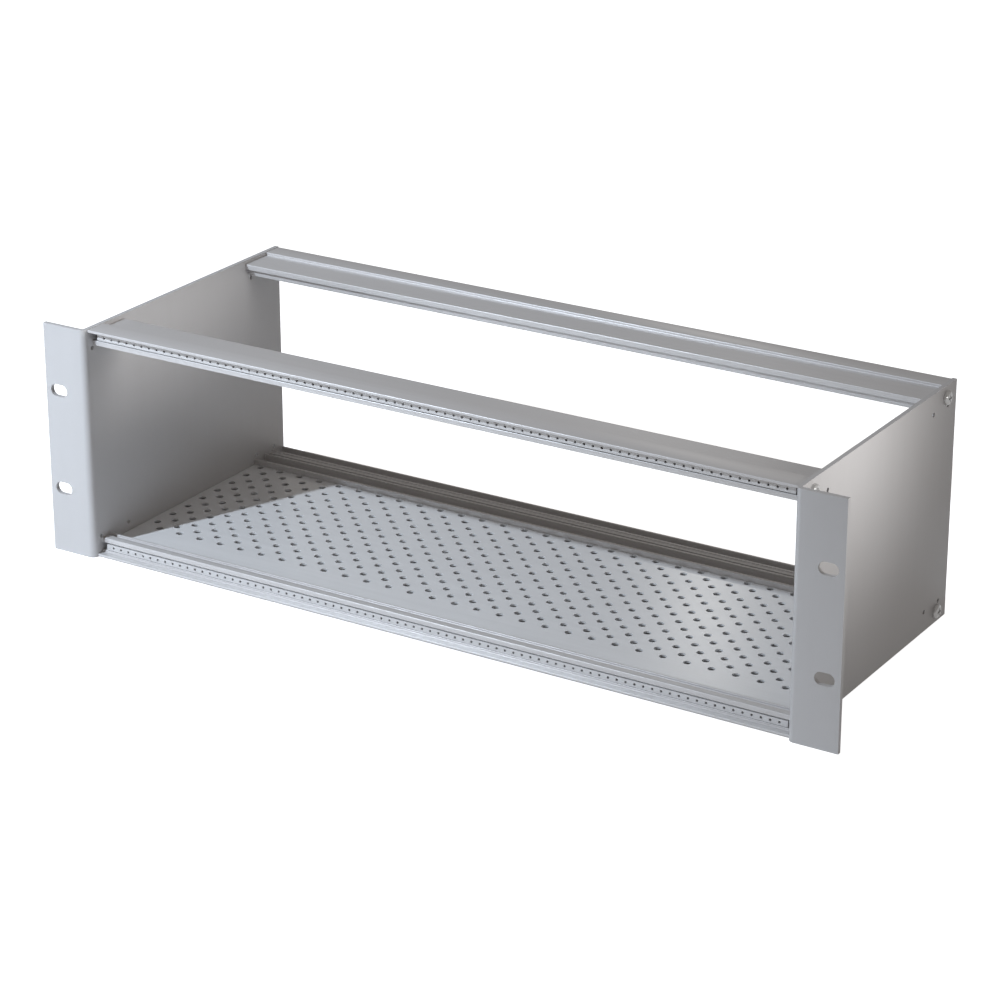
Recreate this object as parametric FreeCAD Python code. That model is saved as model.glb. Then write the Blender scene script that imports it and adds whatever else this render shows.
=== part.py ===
"""Card-cage chassis for a 19 inch rack: two folded side plates, four extruded
rails screwed between them, two tapped strips and a perforated base sheet.

Millimetres, +Z up.  The front is towards -Y.  Inside this file y is counted
back from the front face of the rack ears and z up from their lower edge; the
whole chassis is centred on X and Y when a piece is written out.
"""
import FreeCAD, Part
import math
import os

V = FreeCAD.Vector

# ---------------------------------------------------------------- whole chassis
HEIGHT = 132.5           # three rack units less the usual gap
DEPTH = 178.8            # ear front face to the rear edge of the side plates
CLEAR_WIDTH = 426.72     # between the side plates, 84 pitches of 5.08

# ------------------------------------------------------------------ side plates
SHEET = 2.5
BEND_INSIDE = 1.3
EAR = 25.44              # ear past the plate's outer face: 482.6 over both ears
SLOT_FROM_TIP = 8.75     # slot centre in from the ear's free edge: 465.1 apart
SLOT_PITCH_Z = 57.15
SLOT_LENGTH = 11.0
SLOT_WIDTH = 7.0
SMALL_HOLE_R = 1.25
SMALL_HOLE_EDGE = 11.35  # from the lower and upper edges
SMALL_HOLE_FRONT = (6.6, 30.6)
SMALL_HOLE_REAR = (9.8, 27.4)   # forward of the rear edge
SMALL_HOLE_SIDES = 8     # small repeated holes are drawn with a few flat sides
SCREW_SIDES = 12         # and so are the screw ports and shanks
HEAD_SIDES = 16

# ------------------------------------------------- rails, shared by all four
RAIL_INSET = 0.3         # rail face inside the edge of the side plates
PORT_H = 6.2             # screw port above the rail's outer face
PORT_R = 1.65            # core of an M4 thread
PORT_SPARE = 2.0         # port deeper than the screw
SLIDE_CLEARANCE = 0.05

# ---------------------------------------- front rail section, front to back
LIP_SETBACK = 3.2        # lip behind the ears
LIP_REACH = 4.3
LIP_THICK = 1.45
LIP_ROUND = 0.6
LAND = 4.7
GROOVE = 2.4
GROOVE_DEPTH = 1.3
RIDGE = 1.4              # bead with a rounded top
RIDGE_ROUND = 0.55
SHOULDER = 1.2           # lower step behind the bead
PORT_WALL = 0.65         # left behind the port
LEDGE = 2.8
FLANGE_SPAN = 12.5
END_BEAD = 1.8
RAIL_TALL = 9.8
STEP = 2.2               # flange set in from the outer face
FLANGE_THICK = 1.8
LEDGE_RISE = 0.9         # ledges that carry the base sheet, above the flange
FLANGE_END_GAP = 0.8     # flange stops short of the side plate

# ----------------------------------------- rear rail section, rear to front
REAR_SETBACK = 0.3
REAR_WALL = 1.4
REAR_WALL_TALL = 7.9
BACK_GAP = 8.2
BLOCK = 4.8              # block round the screw port
BLOCK_TALL = 8.4
RIB = 1.4
RIB_TALL = 9.1
RIB_OFFSET = 0.8         # rib on the block, from the block's rear
MID_GAP = 3.1
BED_GAP = 8.8
LEDGE_GAP = 2.0
REAR_LEDGE = 1.4
REAR_STEP = 1.7
REAR_FLANGE = 1.6

# --------------------------------------------------------------- tapped strips
STRIP_HOLE_H = 4.7       # hole row above the rail's outer face
STRIP_NOSE = 3.4         # height of the part seen between the rail's toes
STRIP_NOSE_DEEP = 1.5
STRIP_TALL = 7.0
STRIP_BACK_DEEP = 1.4
STRIP_TAP_R = 1.025      # core of an M2.5 thread
STRIP_PITCH = 5.08       # from hole to hole along the strip
STRIP_END_GAP = 3.05     # strip end to the side plate
NOSE_GAP_OUTER = 0.3     # nose to the outer toe
NOSE_GAP_INNER = 0.6     # nose to the inner toe
RELIEF_TALL = 2.6        # room for screw ends behind the strip
RELIEF_DEEP = 1.9

# ------------------------------------------------------------- perforated base
BASE_SHEET = 1.0
BASE_CLEARANCE = 0.3     # at each end and edge
HOLE_STEP = 7.0          # from row to row, and from column to column
HOLE_DIAMETER = 4.2
COLUMN_MARGIN = 6.0      # outermost columns to the side plates, at the least
LAST_ROW = 2.25          # from the base sheet's rear edge
ROW_MARGIN = 4.0         # first row behind the front rail's flange, at the least

# ----------------------------------------------------------------- rail screws
HEAD_R = 3.9
HEAD_TALL = 2.4
HEAD_CHAMFER = 0.8
SHANK_CLEARANCE = 0.05   # in the rail's port
PLATE_CLEARANCE = 0.55   # hole in the side plate, larger than the port
THREAD_LENGTH = 9.5      # past the side plate's inner face
RECESS_WIDTH = 0.9
RECESS_LENGTH = 4.0
RECESS_DEEP = 1.3

# ------------------------------------------------------------- derived values
HALF_CLEAR = CLEAR_WIDTH / 2
RAIL_REAR_FACE = DEPTH - REAR_SETBACK
LAND_Y = LIP_SETBACK + LIP_REACH
GROOVE_Y = LAND_Y + LAND
RIDGE_Y = GROOVE_Y + GROOVE
LEDGE_Y = RIDGE_Y + RIDGE + SHOULDER
FRONT_PORT_Y = LEDGE_Y - PORT_WALL - PORT_R
REAR_PORT_Y = RAIL_REAR_FACE - REAR_WALL - BACK_GAP - BLOCK / 2
LEDGE_H = STEP + FLANGE_THICK + LEDGE_RISE
STRIP_BACK_Y = LAND_Y + STRIP_NOSE_DEEP + STRIP_BACK_DEEP
FLANGE_END_Y = LEDGE_Y + LEDGE + FLANGE_SPAN + END_BEAD
STRIP_HALF = HALF_CLEAR - STRIP_END_GAP
STRIP_LAST_HOLE = (math.floor(STRIP_HALF / STRIP_PITCH) - 0.5) * STRIP_PITCH
MID_RIB_Y = RAIL_REAR_FACE - REAR_WALL - BACK_GAP - BLOCK - MID_GAP
FRONT_RIB_Y = MID_RIB_Y - RIB - BED_GAP
PORTS = (FRONT_PORT_Y, REAR_PORT_Y)


def box(x0, x1, y0, y1, z0, z1):
    return Part.makeBox(x1 - x0, y1 - y0, z1 - z0, V(x0, y0, z0))


def prism_along_x(points, half):
    """Solid from a closed (y, z) section, carried from -half to +half."""
    corners = [V(-half, y, z) for y, z in points]
    face = Part.Face(Part.makePolygon(corners + corners[:1]))
    return face.extrude(V(2 * half, 0, 0))


def flat_sided(radius, sides, start, along):
    """Prism of the same open area as a round one, along X or Y from start."""
    corner = radius * math.sqrt(2 * math.pi / (sides * math.sin(2 * math.pi / sides)))
    first = V(0, 0, corner)
    ring = []
    for k in range(sides):
        turned = FreeCAD.Rotation(along, 360 * (k + 0.5) / sides).multVec(first)
        ring.append(start + turned)
    return Part.Face(Part.makePolygon(ring + ring[:1])).extrude(along)


def upside_down(shape):
    """The same piece on the upper side of the chassis."""
    return shape.mirror(V(0, 0, HEIGHT / 2), V(0, 0, 1))


def edges_at(shape, *tests):
    """Edges whose two ends satisfy every test."""
    found = []
    for edge in shape.Edges:
        ends = [v.Point for v in edge.Vertexes]
        if len(ends) == 2 and all(t(p) for p in ends for t in tests):
            found.append(edge)
    return found


def near(axis, value):
    return lambda p: abs(getattr(p, axis) - value) < 1e-4


# ------------------------------------------------------------------ side plates
def folded_sheet():
    """Right-hand plate with its ear turned outwards: one sheet, one bend."""
    inner = HALF_CLEAR
    outer = inner + SHEET
    tip = outer + EAR
    outline = [(inner, 0), (tip, 0), (tip, SHEET), (outer, SHEET), (outer, DEPTH), (inner, DEPTH)]
    corners = [V(x, y, 0) for x, y in outline]
    sheet = Part.Face(Part.makePolygon(corners + corners[:1])).extrude(V(0, 0, HEIGHT))
    outside = edges_at(sheet, near("x", inner), near("y", 0))
    sheet = sheet.makeFillet(BEND_INSIDE + SHEET, outside)
    inside = edges_at(sheet, near("x", outer), near("y", SHEET))
    return sheet.makeFillet(BEND_INSIDE, inside)


def rack_slots():
    """Obround slots through the ear, long way across the rack."""
    half_run = (SLOT_LENGTH - SLOT_WIDTH) / 2
    cutters = []
    for side in (-1, 1):
        x = HALF_CLEAR + SHEET + EAR - SLOT_FROM_TIP
        z = HEIGHT / 2 + side * SLOT_PITCH_Z / 2
        y0 = -SHEET
        cut = box(x - half_run, x + half_run, y0, 2 * SHEET, z - SLOT_WIDTH / 2, z + SLOT_WIDTH / 2)
        for end in (-1, 1):
            cut = cut.fuse(Part.makeCylinder(SLOT_WIDTH / 2, 3 * SHEET,
                                             V(x + end * half_run, y0, z), V(0, 1, 0)))
        cutters.append(cut.removeSplitter())
    return cutters


def wall_holes():
    """Holes through the plate: rail screws, and the small ones near the corners."""
    cutters = []
    x = HALF_CLEAR - SHEET
    through = V(3 * SHEET, 0, 0)
    screw_z = RAIL_INSET + PORT_H
    for z in (screw_z, HEIGHT - screw_z):
        for y in PORTS:
            cutters.append(flat_sided(PORT_R + PLATE_CLEARANCE, SCREW_SIDES, V(x, y, z), through))
    rows = SMALL_HOLE_FRONT + tuple(DEPTH - y for y in SMALL_HOLE_REAR)
    for z in (SMALL_HOLE_EDGE, HEIGHT - SMALL_HOLE_EDGE):
        for y in rows:
            cutters.append(flat_sided(SMALL_HOLE_R, SMALL_HOLE_SIDES, V(x, y, z), through))
    return cutters


def side_plate():
    return folded_sheet().cut(rack_slots() + wall_holes())


# ------------------------------------------------------------------------ rails
def front_section():
    """Lip, strip channel, land, groove, ridge and the flange with two ledges."""
    toe_outer = STRIP_HOLE_H - STRIP_NOSE / 2 - NOSE_GAP_OUTER
    toe_inner = STRIP_HOLE_H + STRIP_NOSE / 2 + NOSE_GAP_INNER
    pocket_low = STRIP_HOLE_H - STRIP_TALL / 2 - SLIDE_CLEARANCE
    pocket_high = STRIP_HOLE_H + STRIP_TALL / 2 + SLIDE_CLEARANCE
    toe_back = LAND_Y + STRIP_NOSE_DEEP - SLIDE_CLEARANCE
    relief_low = STRIP_HOLE_H - RELIEF_TALL / 2
    relief_high = STRIP_HOLE_H + RELIEF_TALL / 2
    relief_back = STRIP_BACK_Y + RELIEF_DEEP
    end = FLANGE_END_Y - END_BEAD
    flange_top = STEP + FLANGE_THICK
    return [
        (LIP_SETBACK, 0), (LEDGE_Y, 0), (LEDGE_Y, STEP),
        (end + END_BEAD, STEP), (end + END_BEAD, LEDGE_H), (end, LEDGE_H), (end, flange_top),
        (LEDGE_Y + LEDGE, flange_top), (LEDGE_Y + LEDGE, LEDGE_H), (LEDGE_Y, LEDGE_H),
        (LEDGE_Y, RAIL_TALL - GROOVE_DEPTH), (RIDGE_Y + RIDGE, RAIL_TALL - GROOVE_DEPTH),
        (RIDGE_Y + RIDGE, RAIL_TALL), (RIDGE_Y, RAIL_TALL),
        (RIDGE_Y, RAIL_TALL - GROOVE_DEPTH), (GROOVE_Y, RAIL_TALL - GROOVE_DEPTH),
        (GROOVE_Y, RAIL_TALL), (LAND_Y, RAIL_TALL),
        (LAND_Y, toe_inner), (toe_back, toe_inner), (toe_back, pocket_high),
        (STRIP_BACK_Y, pocket_high), (STRIP_BACK_Y, relief_high), (relief_back, relief_high),
        (relief_back, relief_low), (STRIP_BACK_Y, relief_low), (STRIP_BACK_Y, pocket_low),
        (toe_back, pocket_low), (toe_back, toe_outer), (LAND_Y, toe_outer),
        (LAND_Y, LIP_THICK), (LIP_SETBACK, LIP_THICK),
    ]


def rear_section():
    """Rear wall, port block with a rib, bed, front rib and the ledge."""
    wall = RAIL_REAR_FACE - REAR_WALL
    block_rear = wall - BACK_GAP
    block_front = block_rear - BLOCK
    rib = block_rear - RIB_OFFSET
    mid = MID_RIB_Y
    front = FRONT_RIB_Y
    ledge = front - RIB - LEDGE_GAP
    bed = REAR_STEP + REAR_FLANGE
    return [
        (REAR_PORT_Y, 0), (RAIL_REAR_FACE, 0), (RAIL_REAR_FACE, REAR_WALL_TALL),
        (wall, REAR_WALL_TALL), (wall, REAR_FLANGE), (block_rear, REAR_FLANGE),
        (block_rear, BLOCK_TALL), (rib, BLOCK_TALL), (rib, RIB_TALL), (rib - RIB, RIB_TALL),
        (rib - RIB, BLOCK_TALL), (block_front, BLOCK_TALL), (block_front, bed),
        (mid, bed), (mid, RIB_TALL), (mid - RIB, RIB_TALL), (mid - RIB, bed),
        (front, bed), (front, RIB_TALL), (front - RIB, RIB_TALL), (front - RIB, bed),
        (ledge, bed), (ledge, LEDGE_H), (ledge - REAR_LEDGE, LEDGE_H),
        (ledge - REAR_LEDGE, REAR_STEP), (REAR_PORT_Y, REAR_STEP),
    ]


def rail(section, port_y):
    """A lower rail: its section between the plates, with a tapped port at each end."""
    lifted = [(y, h + RAIL_INSET) for y, h in section]
    body = prism_along_x(lifted, HALF_CLEAR)
    ports = []
    deep = THREAD_LENGTH + PORT_SPARE
    for side in (-1, 1):
        mouth = V(side * HALF_CLEAR, port_y, RAIL_INSET + PORT_H)
        ports.append(flat_sided(PORT_R, SCREW_SIDES, mouth, V(-side * deep, 0, 0)))
    return body.cut(ports)


def front_rail():
    """Lower front rail: rounded lip and bead, and a flange that stops short of the plates."""
    body = rail(front_section(), FRONT_PORT_Y)
    lip = edges_at(body, near("y", LIP_SETBACK), near("z", RAIL_INSET))
    body = body.makeFillet(LIP_ROUND, lip)
    top = near("z", RAIL_INSET + RAIL_TALL)
    bead = edges_at(body, near("y", RIDGE_Y), top) + edges_at(body, near("y", RIDGE_Y + RIDGE), top)
    body = body.makeFillet(RIDGE_ROUND, bead)
    ends = []
    for side in (-1, 1):
        far = side * (HALF_CLEAR + SHEET)
        close = side * (HALF_CLEAR - FLANGE_END_GAP)
        ends.append(box(min(far, close), max(far, close), LEDGE_Y + LEDGE, DEPTH / 2,
                        0, RAIL_INSET + LEDGE_H))
    return body.cut(ends)


def rear_rail():
    return rail(rear_section(), REAR_PORT_Y)


# --------------------------------------------------------------- tapped strips
def tapped_strip():
    """T-shaped strip in the lower front rail; its back bears on the channel."""
    middle = RAIL_INSET + STRIP_HOLE_H
    shoulder = LAND_Y + STRIP_NOSE_DEEP
    nose = STRIP_NOSE / 2
    tall = STRIP_TALL / 2
    section = [
        (LAND_Y, middle - nose), (shoulder, middle - nose), (shoulder, middle - tall),
        (STRIP_BACK_Y, middle - tall), (STRIP_BACK_Y, middle + tall),
        (shoulder, middle + tall), (shoulder, middle + nose), (LAND_Y, middle + nose),
    ]
    strip = prism_along_x(section, STRIP_HALF)
    holes = []
    for side in (-1, 1):
        holes.append(Part.makeCylinder(STRIP_TAP_R, 2 * STRIP_BACK_Y,
                                       V(side * STRIP_LAST_HOLE, 0, middle), V(0, 1, 0)))
    return strip.cut(holes)


# ------------------------------------------------------------- perforated base
def perforated_base():
    """Flat sheet on the ledges of the lower rails, with staggered rows of holes.

    The holes are square with the open area of the round ones, which keeps the
    many repeats light.
    """
    low = RAIL_INSET + LEDGE_H
    front = LEDGE_Y + BASE_CLEARANCE
    rear = FRONT_RIB_Y - RIB - BASE_CLEARANCE
    half = HALF_CLEAR - BASE_CLEARANCE
    side = HOLE_DIAMETER * math.sqrt(math.pi) / 2
    last = rear - LAST_ROW
    rows = math.floor((last - FLANGE_END_Y - ROW_MARGIN) / HOLE_STEP) + 1
    columns = math.floor((CLEAR_WIDTH - 2 * COLUMN_MARGIN) / HOLE_STEP) + 1
    wires = []
    for row in range(rows):
        y = last - row * HOLE_STEP
        for column in range(row % 2, columns, 2):
            x = COLUMN_MARGIN - HALF_CLEAR + column * HOLE_STEP
            corner = V(x - side / 2, y - side / 2, low)
            around = [corner, corner + V(0, side, 0), corner + V(side, side, 0), corner + V(side, 0, 0)]
            wires.append(Part.makePolygon(around + around[:1]))
    edge = [V(-half, front, low), V(half, front, low), V(half, rear, low), V(-half, rear, low)]
    face = Part.Face([Part.makePolygon(edge + edge[:1])] + wires)
    return face.extrude(V(0, 0, BASE_SHEET))


# ----------------------------------------------------------------- rail screws
def rail_screw():
    """Pan-head screw along +X from its head's seat at the origin."""
    head = flat_sided(HEAD_R, HEAD_SIDES, V(0, 0, 0), V(HEAD_TALL, 0, 0))
    rim = edges_at(head, near("x", HEAD_TALL))
    head = head.makeChamfer(HEAD_CHAMFER, rim)
    reach = SHEET + THREAD_LENGTH
    shank = flat_sided(PORT_R - SHANK_CLEARANCE, SCREW_SIDES, V(0, 0, 0), V(-reach, 0, 0))
    body = head.fuse(shank).removeSplitter()
    wide = RECESS_WIDTH / 2
    long = RECESS_LENGTH / 2
    floor = HEAD_TALL - RECESS_DEEP
    cross = box(floor, HEAD_TALL + 1, -wide, wide, -long, long)
    cross = cross.fuse(box(floor, HEAD_TALL + 1, -long, long, -wide, wide))
    return body.cut(cross.removeSplitter())


def rail_screws():
    """Eight screws, one through each side plate into each end of each rail."""
    made = {}
    right = rail_screw()
    left = right.mirror(V(0, 0, 0), V(1, 0, 0))
    screw_z = RAIL_INSET + PORT_H
    for hand, shape, side in (("left", left, -1), ("right", right, 1)):
        for end, y in zip(("front", "rear"), PORTS):
            for level, z in (("bottom", screw_z), ("top", HEIGHT - screw_z)):
                placed = shape.copy()
                placed.translate(V(side * (HALF_CLEAR + SHEET), y, z))
                made[f"screw_{hand}_{end}_{level}"] = placed
    return made


def chassis():
    right = side_plate()
    low_front = front_rail()
    low_rear = rear_rail()
    low_strip = tapped_strip()
    pieces = {
        "right_side_plate": right,
        "left_side_plate": right.mirror(V(0, 0, 0), V(1, 0, 0)),
        "bottom_front_rail": low_front,
        "top_front_rail": upside_down(low_front),
        "bottom_rear_rail": low_rear,
        "top_rear_rail": upside_down(low_rear),
        "bottom_tapped_strip": low_strip,
        "top_tapped_strip": upside_down(low_strip),
        "perforated_base": perforated_base(),
    }
    pieces.update(rail_screws())
    return pieces


os.makedirs("parts", exist_ok=True)
for name, shape in chassis().items():
    shape.translate(V(0, -DEPTH / 2, 0))
    shape.exportStep(f"parts/{name}.step")
    print(name, "valid" if shape.isValid() else "NOT VALID", round(shape.Volume), len(shape.Solids))
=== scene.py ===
# %% [markdown]
# # A rack-mount card cage, dressed for its picture
#
# The solids of the chassis are already packed.  This notebook loads them, makes
# finer visible surfaces for the pieces whose looks depend on small forms, gives
# each piece its finish, and sets up a pale studio and the camera.

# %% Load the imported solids
import math

import bmesh
import bpy
import numpy as np
from mathutils import Matrix, Vector


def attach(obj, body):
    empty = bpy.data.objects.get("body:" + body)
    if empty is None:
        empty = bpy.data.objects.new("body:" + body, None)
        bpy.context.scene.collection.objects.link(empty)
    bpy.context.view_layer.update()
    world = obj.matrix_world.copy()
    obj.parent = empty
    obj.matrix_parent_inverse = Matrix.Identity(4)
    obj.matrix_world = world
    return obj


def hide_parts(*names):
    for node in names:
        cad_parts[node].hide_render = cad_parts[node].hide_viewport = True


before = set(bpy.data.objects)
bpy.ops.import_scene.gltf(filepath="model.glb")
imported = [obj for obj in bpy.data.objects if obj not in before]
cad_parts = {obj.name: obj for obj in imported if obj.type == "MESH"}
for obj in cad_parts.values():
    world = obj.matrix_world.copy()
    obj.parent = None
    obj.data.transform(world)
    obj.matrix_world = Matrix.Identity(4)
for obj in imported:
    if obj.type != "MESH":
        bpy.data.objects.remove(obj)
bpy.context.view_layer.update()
MM = 0.001

# %% [markdown]
# ## Sizes that the visible pieces share
#
# A card cage is built on a few standard lengths.  They are written once here, in
# millimetres.  `y` is counted from the middle of the depth, `z` from the floor.

# %% Shared sizes
HEIGHT = 132.5
DEPTH = 178.8
FRONT = -DEPTH / 2
HALF_CLEAR = 213.36
SHEET = 2.5
BEND_INSIDE = 1.3
EAR = 25.44
RAIL_INSET = 0.3
LAND_Y = FRONT + 7.5
HOLE_ROW = 5.0            # tapped holes above the floor, and below the top
PITCH = 5.08
FRONT_PORT, REAR_PORT = 14.9, 166.5      # rail screws behind the front face
FRONT_PORT_Y = FRONT + FRONT_PORT
REAR_PORT_Y = FRONT + REAR_PORT
PORT_Z = 6.5
print("over the ears:", 2 * (HALF_CLEAR + SHEET + EAR))

# %% [markdown]
# ## Meshes from arrays
#
# Every new piece is worked out as whole arrays of points, and only then handed to
# Blender.  `new_piece` does that last step, shades the flat faces flat and the
# round ones smooth by angle, and lets the piece ride on the chassis.


# %% Put arrays into a mesh
def new_piece(name, points, faces, material, replaces=()):
    """A mesh object from points in mm and lists of vertex indices."""
    mesh = bpy.data.meshes.new(name)
    mesh.from_pydata((np.asarray(points, float).reshape(-1, 3) * MM).tolist(), [], faces)
    mesh.update()
    mesh.validate()
    piece = bpy.data.objects.new(name, mesh)
    bpy.context.scene.collection.objects.link(piece)
    mesh.shade_smooth()
    mesh.set_sharp_from_angle(angle=math.radians(35))
    mesh.materials.append(material)
    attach(piece, "root")
    if replaces:
        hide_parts(*replaces)
    print(name, len(mesh.vertices), "points", len(mesh.polygons), "faces")
    return piece


def quads(index_grid):
    """Faces between neighbours of a 2-D grid of vertex indices."""
    a, b = index_grid[:-1, :-1], index_grid[1:, :-1]
    c, d = index_grid[1:, 1:], index_grid[:-1, 1:]
    return np.stack([a, b, c, d], axis=-1).reshape(-1, 4)


# %% [markdown]
# ## Shader nodes as expressions
#
# A socket wrapped in `Wire` can be added to, multiplied and so on, and each
# operator adds one Math node.  `Wire.node` makes any other node.


# %% A small socket class
class Wire:
    """A node's output that can be used in Python arithmetic."""

    def __init__(self, tree, socket):
        self.tree = tree
        self.socket = socket

    def node(self, kind, settings, inputs, out=0):
        return add_node(self.tree, kind, settings, inputs, out)

    def _math(self, operation, first, second):
        return self.node("ShaderNodeMath", {"operation": operation}, {0: first, 1: second})

    def __add__(self, other):
        return self._math("ADD", self, other)

    def __radd__(self, other):
        return self._math("ADD", other, self)

    def __sub__(self, other):
        return self._math("SUBTRACT", self, other)

    def __rsub__(self, other):
        return self._math("SUBTRACT", other, self)

    def __mul__(self, other):
        return self._math("MULTIPLY", self, other)

    def __rmul__(self, other):
        return self._math("MULTIPLY", other, self)

    def maximum(self, other):
        return self._math("MAXIMUM", self, other)

    def within(self, middle, spread):
        """1 where the value lies within spread of middle, 0 elsewhere."""
        return self.node("ShaderNodeMath", {"operation": "COMPARE"},
                         {0: self, 1: middle, 2: spread})


def add_node(tree, kind, settings, inputs, out=0):
    """One node: its settings first, then values or links for its sockets."""
    made = tree.nodes.new(kind)
    for key, value in settings.items():
        setattr(made, key, value)
    for key, value in inputs.items():
        if isinstance(value, Wire):
            tree.links.new(value.socket, made.inputs[key])
        else:
            made.inputs[key].default_value = value
    return Wire(tree, made.outputs[out])


# %% [markdown]
# ## Finishes
#
# The whole chassis is bare metal.  What tells the pieces apart is how each was
# worked: the side plates are rolled sheet with a faint upright grain, the rails
# were pushed through a die and have fine lines along their length, and the base
# is punched sheet with a soft sheen.  One recipe serves them all: noise that is
# stretched along the grain changes the colour and roughness a little, and feeds
# a shallow bump.


# %% Worked metal
GRAIN_BUMP = 0.02         # strength of the grain's bump
GRAIN_DEPTH = 0.0004      # metres, for the same bump


def worked_metal(name, colour, roughness, metallic, grain, tint=0.06, rough_swing=0.08):
    """Metal with grain.  Lines are noise squeezed by the factors in grain, clouds
    are plain noise.  The share of the lighter colour is one half plus 4 tint times
    (0.65 lines + 0.35 cloud less one half).  The lines alone move the roughness."""
    material = bpy.data.materials.new(name)
    material.use_nodes = True
    tree = material.node_tree
    shader = tree.nodes["Principled BSDF"]
    here = add_node(tree, "ShaderNodeTexCoord", {}, {}, out="Object")
    along = here.node("ShaderNodeMapping", {}, {"Vector": here, "Scale": grain})
    lines = here.node("ShaderNodeTexNoise", {},
                      {"Vector": along, "Scale": 1.0, "Detail": 6.0, "Roughness": 0.65})
    cloud = here.node("ShaderNodeTexNoise", {}, {"Vector": here, "Scale": 9.0, "Detail": 3.0})
    shade = (lines * 0.65 + cloud * 0.35 - 0.5) * (4.0 * tint) + 0.5
    light = [min(1.0, c * 1.5) for c in colour] + [1.0]
    dark = [c * 0.5 for c in colour] + [1.0]
    mixed = here.node("ShaderNodeMix", {"data_type": "RGBA"}, {0: shade, 6: dark, 7: light}, out=2)
    rough = (lines - 0.5) * rough_swing + roughness
    dent = here.node("ShaderNodeBump", {},
                     {"Strength": GRAIN_BUMP, "Distance": GRAIN_DEPTH, "Height": lines})
    tree.links.new(mixed.socket, shader.inputs["Base Color"])
    tree.links.new(rough.socket, shader.inputs["Roughness"])
    tree.links.new(dent.socket, shader.inputs["Normal"])
    shader.inputs["Metallic"].default_value = metallic
    print("finish:", name)
    return material


PLATE_METAL = worked_metal("plate_metal", (0.51, 0.50, 0.50), 0.42, 0.15, (120.0, 120.0, 9.0),
                           tint=0.02, rough_swing=0.03)
RAIL_METAL = worked_metal("rail_metal", (0.56, 0.545, 0.54), 0.34, 0.3, (4.0, 700.0, 700.0))
BASE_METAL = worked_metal("base_metal", (0.70, 0.69, 0.70), 0.24, 0.1, (12.0, 220.0, 220.0))
STRIP_METAL = worked_metal("strip_metal", (0.58, 0.57, 0.57), 0.38, 0.25, (6.0, 500.0, 500.0))
SCREW_METAL = worked_metal("screw_metal", (0.66, 0.66, 0.66), 0.24, 0.6, (300.0, 300.0, 300.0))

# %% [markdown]
# ## Sheets with holes
#
# Three kinds of piece are sheets with rows of holes: the base, the tapped strips
# and the side plates.  They could be cut with booleans, but a sheet can also be
# laid out directly.  Grid lines divide it so that each hole has one cell of its
# own.  A cell without a hole is one quad.  In a cell with a hole, each quarter of
# the hole's rim fans out to one corner of the cell.


# %% The holed sheet
def holed_sheet(front, back, rim_front, rim_back, cell_u, cell_v):
    """Closed sheet with through holes.

    front and back are (U, V, 3) grids of points; rim_* are (H, n, 3) rings of
    points round each hole, n a multiple of 4, counted from the +u side towards
    +v; cell_* say which cell each hole lies in.  The rim is joined to the four
    corners of its cell by fans, front and back rims by a ring of quads, and the
    free edges of the sheet by a band of quads.
    """
    across, up = front.shape[:2]
    holes, ring = rim_front.shape[:2]
    grid = np.arange(across * up).reshape(across, up)
    size = across * up
    has_hole = np.zeros((across - 1, up - 1), bool)
    has_hole[cell_u, cell_v] = True
    rims = 2 * size + np.arange(holes * ring).reshape(holes, ring)
    back_rims = rims + holes * ring
    quarter = ring // 4
    plain = quads(grid)[~has_hole.reshape(-1)]
    corner_u = cell_u[:, None] + np.array([1, 0, 0, 1])
    corner_v = cell_v[:, None] + np.array([1, 1, 0, 0])
    corners = grid[corner_u, corner_v]
    step = np.arange(ring)
    fans = np.stack([corners[:, step // quarter], rims, np.roll(rims, -1, axis=1)], axis=-1)
    start = rims[:, (np.arange(4) * quarter)]
    bridges = np.stack([corners, np.roll(corners, 1, axis=1), start], axis=-1)
    tubes = np.stack([rims, back_rims, np.roll(back_rims, -1, axis=1), np.roll(rims, -1, axis=1)],
                     axis=-1)
    faces = plain.tolist()
    faces += (plain[:, ::-1] + size).tolist()
    for part in (fans[..., ::-1], bridges[..., ::-1]):
        flat = part.reshape(-1, 3)
        faces += flat.tolist()
        moved = np.where(flat >= 2 * size, flat + holes * ring, flat + size)
        faces += moved[:, ::-1].tolist()
    faces += tubes.reshape(-1, 4).tolist()
    rim_of_sheet = np.concatenate([grid[:, 0], grid[-1, 1:], grid[-2::-1, -1], grid[0, -2:0:-1]])
    after = np.roll(rim_of_sheet, -1)
    faces += np.stack([rim_of_sheet, rim_of_sheet + size, after + size, after], axis=-1).tolist()
    points = np.concatenate([front.reshape(-1, 3), back.reshape(-1, 3),
                             rim_front.reshape(-1, 3), rim_back.reshape(-1, 3)])
    return points, faces


def outward(piece):
    """Turns every face of a closed piece to point outwards."""
    edit = bmesh.new()
    edit.from_mesh(piece.data)
    bmesh.ops.recalc_face_normals(edit, faces=edit.faces)
    edit.to_mesh(piece.data)
    edit.free()
    piece.data.update()


# %% [markdown]
# ## The perforated base
#
# The base is one flat sheet with staggered rows of round holes.  On a square net
# of 7 mm cells the holes sit in every other cell, like the dark squares of a
# chess board.

# %% Make the base
BASE_LOW, BASE_HIGH = 5.2, 6.2
BASE_FRONT, BASE_REAR = FRONT + 17.5, FRONT + 149.1
BASE_SIDE_GAP = 0.3
HOLE_STEP, HOLE_R, ROWS, COLUMNS, RING = 7.0, 2.1, 16, 60, 20
FIRST_COLUMN = 6.0        # its middle, from the side plate
LAST_ROW = 2.25           # its middle, from the rear edge


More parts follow.
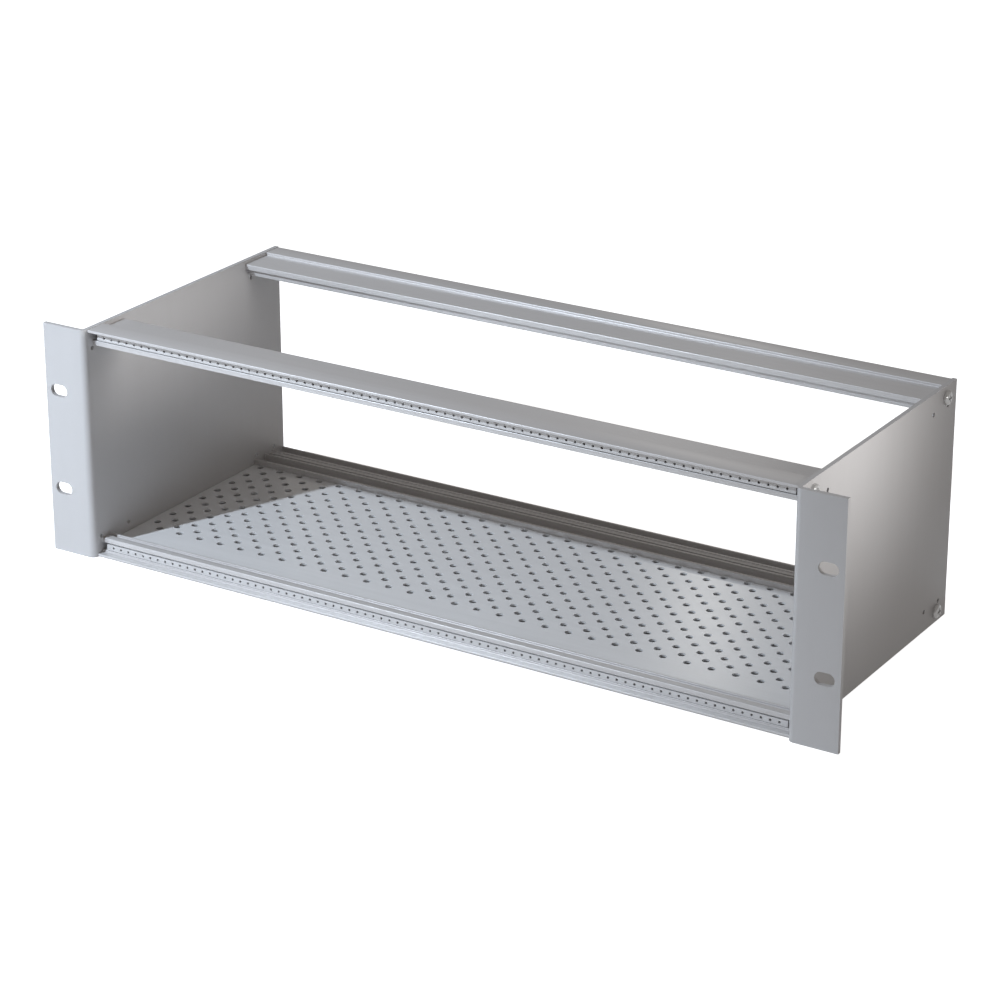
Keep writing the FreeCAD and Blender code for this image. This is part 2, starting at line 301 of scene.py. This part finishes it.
def make_base():
    """Net lines every 7 mm; rim points are centre + r (cos a, sin a)."""
    first_x = FIRST_COLUMN - HALF_CLEAR
    last_y = BASE_REAR - LAST_ROW
    lines_x = first_x + (np.arange(COLUMNS + 1) - 0.5) * HOLE_STEP
    lines_y = last_y + (np.arange(-ROWS, 1) + 0.5) * HOLE_STEP
    lines_y[-1] = BASE_REAR
    half = HALF_CLEAR - BASE_SIDE_GAP
    lines_x = np.concatenate([[-half], lines_x, [half]])
    lines_y = np.concatenate([[BASE_FRONT], lines_y])
    x, y = np.meshgrid(lines_x, lines_y, indexing="ij")
    top = np.stack([x, y, np.full_like(x, BASE_HIGH)], axis=-1)
    column, row = np.meshgrid(np.arange(COLUMNS), np.arange(ROWS), indexing="ij")
    chosen = (column + (ROWS - 1 - row)) % 2 == 0
    column, row = column[chosen], row[chosen]
    angle = np.arange(RING) * 2 * np.pi / RING
    rim = np.stack([
        (first_x + column * HOLE_STEP)[:, None] + HOLE_R * np.cos(angle),
        (last_y - (ROWS - 1 - row) * HOLE_STEP)[:, None] + HOLE_R * np.sin(angle),
        np.full((len(column), RING), BASE_HIGH)], axis=-1)
    down = np.array([0, 0, BASE_LOW - BASE_HIGH])
    points, faces = holed_sheet(top, top + down, rim, rim + down, column + 1, row + 1)
    base = new_piece("base_sheet", points, faces, BASE_METAL, ["perforated_base"])
    outward(base)
    print("round holes:", len(column))


make_base()

# %% [markdown]
# ## Rails: a section pushed along X
#
# An extruded rail has one section all the way along.  Its corners are never quite
# sharp, and the small rounds catch the light as thin bright lines, so each corner
# of the section is replaced by a short arc before it is carried along.


# %% Carry a section along X
def rounded(section, radius, steps=3):
    """Each corner becomes a quadratic arc: its ends lie up to radius along the
    two edges, and its middle is pulled to the corner."""
    p = np.asarray(section, float)
    before, after = np.roll(p, 1, axis=0) - p, np.roll(p, -1, axis=0) - p
    len_b = np.linalg.norm(before, axis=1)
    len_a = np.linalg.norm(after, axis=1)
    reach = np.minimum(radius, 0.45 * np.minimum(len_b, len_a))[:, None]
    a = p + before / len_b[:, None] * reach
    b = p + after / len_a[:, None] * reach
    t = np.linspace(0, 1, steps + 1)[None, :, None]
    arc = (1 - t) ** 2 * a[:, None] + 2 * t * (1 - t) * p[:, None] + t ** 2 * b[:, None]
    return arc.reshape(-1, 2)


def extrusion(section, half):
    """Points (x, y, z) = (x, section): the section at both ends, and at stations
    between them, joined by quads and closed by one flat face at each end."""
    stations = np.linspace(-half, half, 13)
    ring = len(section)
    points = np.zeros((len(stations), ring, 3))
    points[..., 0] = stations[:, None]
    points[..., 1:] = section[None]
    index = np.arange(points.size // 3).reshape(len(stations), ring)
    wrapped = np.concatenate([index, index[:, :1]], axis=1)
    faces = quads(wrapped).tolist()
    faces += [index[0].tolist(), index[-1, ::-1].tolist()]
    return points.reshape(-1, 3), faces


def make_rail(name, section, radius, node):
    """Rounded section carried along X; the upper rail is the lower one turned over."""
    for level in ("bottom", "top"):
        yz = rounded(section, radius) + [FRONT, RAIL_INSET]
        if level == "top":
            yz[:, 1] = HEIGHT - yz[:, 1]
        points, faces = extrusion(yz, HALF_CLEAR)
        rail = new_piece(f"{level}_{name}", points, faces, RAIL_METAL, [f"{level}_{node}"])
        outward(rail)


# %% [markdown]
# The front rail's section: a thin lip in front, the channel that holds the tapped
# strip, a land, a groove, a narrow bead, and a low flange with two ledges that
# carry the base sheet.  `h` is counted from the rail's outer face.

# %% Make the front rails
CORNER_ROUND = 0.35
FRONT_SECTION = [
    (3.2, 0), (17.2, 0), (17.2, 2.2), (34.3, 2.2), (34.3, 4.9), (32.5, 4.9), (32.5, 4.0),
    (20.0, 4.0), (20.0, 4.9), (17.2, 4.9), (17.2, 8.5), (16.0, 8.5), (16.0, 9.8), (14.6, 9.8),
    (14.6, 8.5), (12.2, 8.5), (12.2, 9.8), (7.5, 9.8), (7.5, 7.0), (8.95, 7.0), (8.95, 8.25),
    (10.4, 8.25), (10.4, 6.0), (12.3, 6.0), (12.3, 3.4), (10.4, 3.4), (10.4, 1.15), (8.95, 1.15),
    (8.95, 2.7), (7.5, 2.7), (7.5, 1.45), (3.2, 1.45)]
make_rail("front_extrusion", FRONT_SECTION, CORNER_ROUND, "front_rail")

# %% [markdown]
# The rear rail has a plain rear wall, a block round the screw port with a rib on
# it, two more ribs, and a ledge under the rear edge of the base.

# %% Make the rear rails
REAR_SECTION = [
    (166.5, 0), (178.5, 0), (178.5, 7.9), (177.1, 7.9), (177.1, 1.6), (168.9, 1.6), (168.9, 8.4),
    (168.1, 8.4), (168.1, 9.1), (166.7, 9.1), (166.7, 8.4), (164.1, 8.4), (164.1, 3.3),
    (161.0, 3.3), (161.0, 9.1), (159.6, 9.1), (159.6, 3.3), (150.8, 3.3), (150.8, 9.1),
    (149.4, 9.1), (149.4, 3.3), (147.4, 3.3), (147.4, 4.9), (146.0, 4.9), (146.0, 1.7),
    (166.5, 1.7)]
make_rail("rear_extrusion", REAR_SECTION, CORNER_ROUND, "rear_rail")

# %% [markdown]
# ## Tapped strips
#
# A strip slides into each front rail.  It is T-shaped: a nose shows between the
# rail's toes, and a wider back keeps it in.  The holes follow one another at a
# pitch of 5.08 mm, so a cell of the sheet is one pitch long.


# %% Make the strips
STRIP_END_GAP = 3.05      # strip end to the side plate
STRIP_HOLES = 82
TAP_R = 0.7
TAP_RING = 16             # points round one hole
NOSE_HALF, BACK_HALF = 1.7, 3.5
NOSE_DEEP, STRIP_DEEP = 1.5, 2.9
NET_INNER, NET_OUTER = 2.3, 2.6      # net lines on the flat back


def make_strip(level):
    """The front is a stepped grid (shoulder, nose, shoulder), the back a flat one."""
    half = HALF_CLEAR - STRIP_END_GAP
    count = STRIP_HOLES
    centres = (np.arange(count) - (count - 1) / 2) * PITCH
    lines = np.concatenate([[-half], (np.arange(count + 1) - count / 2) * PITCH, [half]])
    nose, shoulder, back = LAND_Y, LAND_Y + NOSE_DEEP, LAND_Y + STRIP_DEEP
    sign = 1 if level == "bottom" else -1
    middle = HOLE_ROW if level == "bottom" else HEIGHT - HOLE_ROW
    across_z = np.array([-BACK_HALF, -NOSE_HALF, -NOSE_HALF, NOSE_HALF, NOSE_HALF, BACK_HALF])
    across_z = across_z * sign + middle
    front_y = np.array([shoulder, shoulder, nose, nose, shoulder, shoulder])
    back_z = np.array([-BACK_HALF, -NET_OUTER, -NET_INNER, NET_INNER, NET_OUTER, BACK_HALF])
    back_z = back_z * sign + middle
    front = np.zeros((len(lines), 6, 3))
    front[..., 0] = lines[:, None]
    front[..., 1] = front_y
    front[..., 2] = across_z
    rear = front.copy()
    rear[..., 1] = back
    rear[..., 2] = back_z
    angle = np.arange(TAP_RING) * 2 * np.pi / TAP_RING
    rim = np.zeros((count, TAP_RING, 3))
    rim[..., 0] = centres[:, None] + TAP_R * np.cos(angle)
    rim[..., 1] = nose
    rim[..., 2] = middle + TAP_R * np.sin(angle) * sign
    deep = rim.copy()
    deep[..., 1] = back
    points, faces = holed_sheet(front, rear, rim, deep, np.arange(count) + 1, np.full(count, 2))
    strip = new_piece(f"{level}_strip", points, faces, STRIP_METAL,
                      [f"{level}_tapped_strip"])
    outward(strip)


for level in ("bottom", "top"):
    make_strip(level)

# %% [markdown]
# ## Side plates
#
# Each plate and its rack ear are one sheet with one bend.  The sheet is laid out
# flat as a net of lines, and the profile then says where each line lies after
# folding: straight along the ear, round a quarter circle, straight to the rear.


# %% Make the side plates
SLOT_FROM_TIP = 8.75
SLOT_R, SLOT_RUN = 3.5, 2.0      # an obround: two half circles, this far from its middle
SLOT_Z = 37.65                   # lower slot above the floor, upper one below the top
SMALL_R, SMALL_Z = 1.25, 11.35
SCREW_HOLE_R = 2.2
EAR_LINES = np.array([0.0, 1.5, 16.0])      # net lines from the ear's free edge
PLATE_LINES = np.array([4.7, 8.5, 11.7, 18.1, 28.7, 32.5, 90.0, 149.5, 153.3, 163.3, 171.0, DEPTH])
LOW_ROWS = [0, 3.3, 9.75, 13.0, 32.0, 43.3]
BEND_STEPS = 13


def fold_profile():
    """Pairs of points (outer side of the bend, inner side) along the sheet, from
    the ear's free edge, round the bend, to the rear edge."""
    outer_r, inner_r = BEND_INSIDE + SHEET, BEND_INSIDE
    ear_x = HALF_CLEAR + SHEET + EAR - EAR_LINES
    one = np.stack([ear_x, np.full(len(ear_x), FRONT)], axis=-1)
    two = np.stack([ear_x, np.full(len(ear_x), FRONT + SHEET)], axis=-1)
    turn = np.linspace(0, np.pi / 2, BEND_STEPS)
    centre = np.array([HALF_CLEAR + outer_r, FRONT + outer_r])
    way = np.stack([-np.sin(turn), -np.cos(turn)], axis=-1)
    plate_y = FRONT + PLATE_LINES
    three = np.stack([np.full(len(plate_y), HALF_CLEAR), plate_y], axis=-1)
    four = three + [SHEET, 0]
    face = np.concatenate([one, centre + outer_r * way, three])
    reverse = np.concatenate([two, centre + inner_r * way, four])
    return face, reverse


def make_side(hand):
    """Every line of the profile is carried up through the rows of z."""
    side = 1 if hand == "right" else -1
    face, reverse = fold_profile()
    rows = np.array(LOW_ROWS + [HEIGHT - z for z in LOW_ROWS[::-1]])
    grids = []
    for line in (face, reverse):
        grid = np.zeros((len(line), len(rows), 3))
        grid[..., :2] = line[:, None]
        grid[..., 2] = rows
        grids.append(grid)
    n = 32
    angle = np.arange(n) * 2 * np.pi / n
    run = np.where(np.cos(angle) > 0, SLOT_RUN, -SLOT_RUN)
    run[[n // 4, 3 * n // 4]] = 0
    rims, backs, cell_u, cell_v = [], [], [], []
    slot_x = HALF_CLEAR + SHEET + EAR - SLOT_FROM_TIP
    for z, row in ((SLOT_Z, 4), (HEIGHT - SLOT_Z, 6)):
        x = slot_x - run - SLOT_R * np.cos(angle)
        ring = np.stack([x, np.full(n, FRONT), z + SLOT_R * np.sin(angle)], axis=-1)
        rims.append(ring)
        backs.append(ring + [0, SHEET, 0])
        cell_u.append(1)
        cell_v.append(row)
    first = len(EAR_LINES) + BEND_STEPS
    plan = [(6.6, SMALL_R, SMALL_Z, first + 0, 2), (30.6, SMALL_R, SMALL_Z, first + 4, 2),
            (151.4, SMALL_R, SMALL_Z, first + 7, 2), (169.0, SMALL_R, SMALL_Z, first + 9, 2),
            (FRONT_PORT, SCREW_HOLE_R, PORT_Z, first + 2, 1),
            (REAR_PORT, SCREW_HOLE_R, PORT_Z, first + 9, 1)]
    for y, r, z, column, row in plan:
        for top in (False, True):
            height = HEIGHT - z if top else z
            ring = np.stack([np.full(n, HALF_CLEAR), FRONT + y + r * np.cos(angle),
                             height + r * np.sin(angle)], axis=-1)
            rims.append(ring)
            backs.append(ring + [SHEET, 0, 0])
            cell_u.append(column)
            cell_v.append(10 - row if top else row)
    points, faces = holed_sheet(grids[0], grids[1], np.array(rims), np.array(backs),
                                np.array(cell_u), np.array(cell_v))
    points[:, 0] *= side
    plate = new_piece(f"{hand}_plate", points, faces, PLATE_METAL,
                      [f"{hand}_side_plate"])
    outward(plate)


for hand in ("left", "right"):
    make_side(hand)

# %% [markdown]
# ## Rail screws
#
# A pan head is a dome with a cross cut into it.  On a polar net of radius and
# angle the height is the dome's curve, less the depth of the cross where a point
# lies within its arms.


# %% Make the screws
HEAD_R, HEAD_TALL, HEAD_SEAT = 3.9, 2.4, 0.5
CROSS_DEEP = 1.2
ARM_HALF, ARM_SLOPE = 0.62, 0.24         # half width of an arm, and its wall's run
ARM_LONG, END_SLOPE = 2.15, 0.3          # length of an arm, and its end's run


def make_screw(name, x_side, y, z):
    """Height above the plate = seat + (tall - seat) * (1 - (r/R)^3)^(1/3), less a
    cross: its depth times a ramp across the arm's half width and one along it."""
    r = np.concatenate([np.linspace(0.02, 2.4, 22), np.linspace(2.55, HEAD_R, 12)])
    a = np.arange(96) * 2 * np.pi / 96
    rr, aa = np.meshgrid(r, a, indexing="ij")
    p, q = rr * np.cos(aa), rr * np.sin(aa)
    curve = np.cbrt(np.clip(1 - (rr / HEAD_R) ** 3, 0, 1))
    dome = HEAD_SEAT + (HEAD_TALL - HEAD_SEAT) * curve
    arm = np.clip((ARM_HALF - np.minimum(np.abs(p), np.abs(q))) / ARM_SLOPE, 0, 1)
    length = np.clip((ARM_LONG - np.maximum(np.abs(p), np.abs(q))) / END_SLOPE, 0, 1)
    height = dome - CROSS_DEEP * arm * length
    net = np.stack([height, p, q], axis=-1)
    rim = np.stack([np.zeros_like(a), HEAD_R * np.cos(a), HEAD_R * np.sin(a)], axis=-1)[None]
    net = np.concatenate([net, rim])
    index = np.arange(net.size // 3).reshape(net.shape[:2])
    wrapped = np.concatenate([index, index[:, :1]], axis=1)
    faces = quads(wrapped).tolist()
    faces += [index[0].tolist(), index[-1, ::-1].tolist()]
    points = net.reshape(-1, 3).copy()
    points[:, 0] = x_side * (HALF_CLEAR + SHEET + points[:, 0])
    points[:, 1] += y
    points[:, 2] += z
    node = name.replace("head", "screw")
    head = new_piece(name, points, faces, SCREW_METAL, [node])
    outward(head)


for hand, x_side in (("left", -1), ("right", 1)):
    for end, y in (("front", FRONT_PORT_Y), ("rear", REAR_PORT_Y)):
        for level, z in (("bottom", PORT_Z), ("top", HEIGHT - PORT_Z)):
            make_screw(f"head_{hand}_{end}_{level}", x_side, y, z)

# %% [markdown]
# ## A pale studio
#
# The floor is a white sheet.  Seen directly or in a reflection it shines a little
# by itself, so that it stays white where the lamps are soft, and it still takes
# the chassis's shadow.  Right under the chassis it does not shine, so the holes in
# the base look into the dark.


# %% Floor and surroundings
FLOOR_HALF = 6000.0
FLOOR_DROP = 0.2          # keeps the floor clear of the chassis's underside
DARK_MARGIN = 4           # the shining floor reaches this far under front and rear
GLOSSY_SHARE = 0.35       # how much of the shine a reflection shows
GLOW = 0.9


def make_floor():
    half = FLOOR_HALF
    corners = np.array([[-half, -half, 0], [half, -half, 0], [half, half, 0], [-half, half, 0]])
    mesh = bpy.data.meshes.new("studio_floor")
    mesh.from_pydata((corners * MM).tolist(), [], [[0, 1, 2, 3]])
    floor = bpy.data.objects.new("studio_floor", mesh)
    bpy.context.scene.collection.objects.link(floor)
    floor.location.z = -FLOOR_DROP * MM
    material = bpy.data.materials.new("studio_white")
    material.use_nodes = True
    tree = material.node_tree
    shader = tree.nodes["Principled BSDF"]
    shader.inputs["Base Color"].default_value = (0.8, 0.8, 0.8, 1)
    shader.inputs["Roughness"].default_value = 0.9
    shader.inputs["Specular IOR Level"].default_value = 0.0
    camera_ray = add_node(tree, "ShaderNodeLightPath", {}, {}, out="Is Camera Ray")
    glossy_ray = add_node(tree, "ShaderNodeLightPath", {}, {}, out="Is Glossy Ray")
    here = add_node(tree, "ShaderNodeTexCoord", {}, {}, out="Object")
    x, y = (here.node("ShaderNodeSeparateXYZ", {}, {0: here}, out=axis) for axis in (0, 1))
    under = x.within(0.0, HALF_CLEAR * MM) * y.within(0.0, (DEPTH / 2 - DARK_MARGIN) * MM)
    seen = camera_ray.maximum(glossy_ray * GLOSSY_SHARE) * (1.0 - under)
    glow = seen.node("ShaderNodeMix", {"data_type": "RGBA"},
                     {0: seen, 6: (0, 0, 0, 1), 7: (GLOW, GLOW, GLOW, 1)}, out=2)
    tree.links.new(glow.socket, shader.inputs["Emission Color"])
    shader.inputs["Emission Strength"].default_value = 1.0
    mesh.materials.append(material)
    print("floor:", 2 * half, "mm across")


def make_world(level):
    world = bpy.data.worlds.new("studio")
    bpy.context.scene.world = world
    world.use_nodes = True
    tree = world.node_tree
    tree.nodes["Background"].inputs["Color"].default_value = (1.0, 0.95, 0.91, 1)
    tree.nodes["Background"].inputs["Strength"].default_value = level
    print("world:", level)


make_floor()
make_world(0.29)

# %% [markdown]
# ## Lamps
#
# The key lamp is small and cool and stands at the front left, so the left plate
# and the upper rail throw clear-edged shadows on the base.  A weak ball behind
# puts a spark on the base and along the rear ribs.  A low lamp on the right
# grazes the top of the right plate and reaches the inside of the left one.


# %% Lamps
def hang(name, kind, place, radius, power, colour):
    """A lamp of that radius in mm at that place in mm."""
    data = bpy.data.lights.new(name, kind)
    data.shadow_soft_size = radius * MM
    data.energy = power
    data.color = colour
    lamp = bpy.data.objects.new(name, data)
    bpy.context.scene.collection.objects.link(lamp)
    lamp.location = [c * MM for c in place]
    print("lamp:", name, power, "W")
    return lamp


def aim(lamp, target, cone):
    """Turns a spot lamp to a point in mm; its light fades from axis to cone edge."""
    way = Vector([c * MM for c in target]) - lamp.location
    lamp.rotation_euler = way.to_track_quat("-Z", "Y").to_euler()
    lamp.data.spot_size = math.radians(cone)
    lamp.data.spot_blend = 1.0


key = hang("key", "SPOT", (-470, -709, 645), 9, 41, (0.78, 0.88, 1.0))
aim(key, (-215, -80, 60), 74)
side = hang("side", "SPOT", (900, 0, 205), 60, 22, (1.0, 0.99, 0.98))
aim(side, (216, -37, 150), 17.5)
hang("spark", "POINT", (-605, 1373, 684), 14, 0.6, (1.0, 0.98, 0.93))

# %% [markdown]
# ## Camera
#
# A long lens from the front right and above, with a small shift to frame it.


# %% Camera
def make_camera():
    data = bpy.data.cameras.new("camera")
    data.lens = 113.66
    data.sensor_width = 36.0
    data.shift_x = -0.01345
    data.shift_y = -0.0832
    data.clip_end = 50.0
    camera = bpy.data.objects.new("camera", data)
    bpy.context.scene.collection.objects.link(camera)
    turn = Matrix.Rotation(math.radians(31.706), 4, "Z")
    tilt = Matrix.Rotation(math.radians(90 - 20.529), 4, "X")
    roll = Matrix.Rotation(math.radians(0.056), 4, "Z")
    place = Matrix.Translation([0.825209, -1.331527, 0.683832])
    camera.matrix_world = place @ turn @ tilt @ roll
    bpy.context.scene.camera = camera
    print("lens:", data.lens, "mm")


make_camera()
bpy.context.scene.view_settings.view_transform = "Standard"
